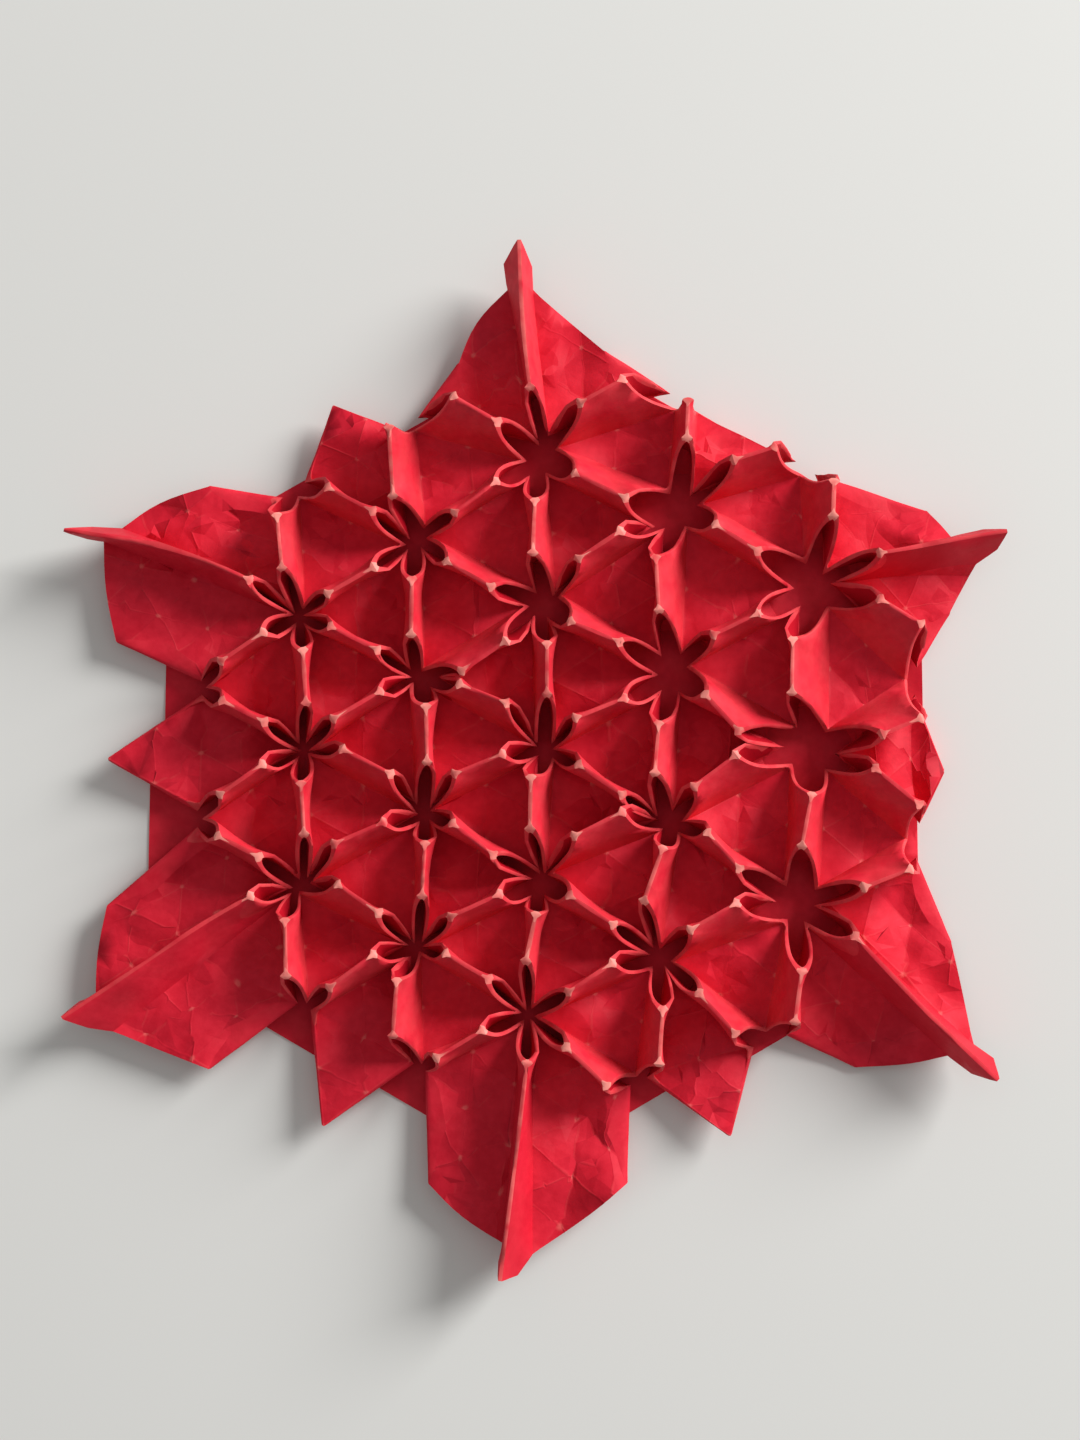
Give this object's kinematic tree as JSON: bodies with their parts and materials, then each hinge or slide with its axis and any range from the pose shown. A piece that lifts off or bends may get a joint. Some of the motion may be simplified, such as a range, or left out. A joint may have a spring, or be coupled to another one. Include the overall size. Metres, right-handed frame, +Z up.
{
  "type": "origami star",
  "caption": "Six-pointed origami star: one sheet of paper folded into a lattice of petal-shaped wells joined by standing pleats, with pointed leaves and flaps around it.",
  "frame": {"origin": "on the table plane, under the middle of the centre well's flat foot", "axes": "+Z up out of the table, +Y towards the leaf at the top of the picture, +X to the right in the picture"},
  "size_m": [0.126, 0.1381, 0.0084],
  "materials": {
    "paper": "matt"
  },
  "bodies": {
    "root": {"folded_sheet": "paper"}
  },
  "joints": []
}
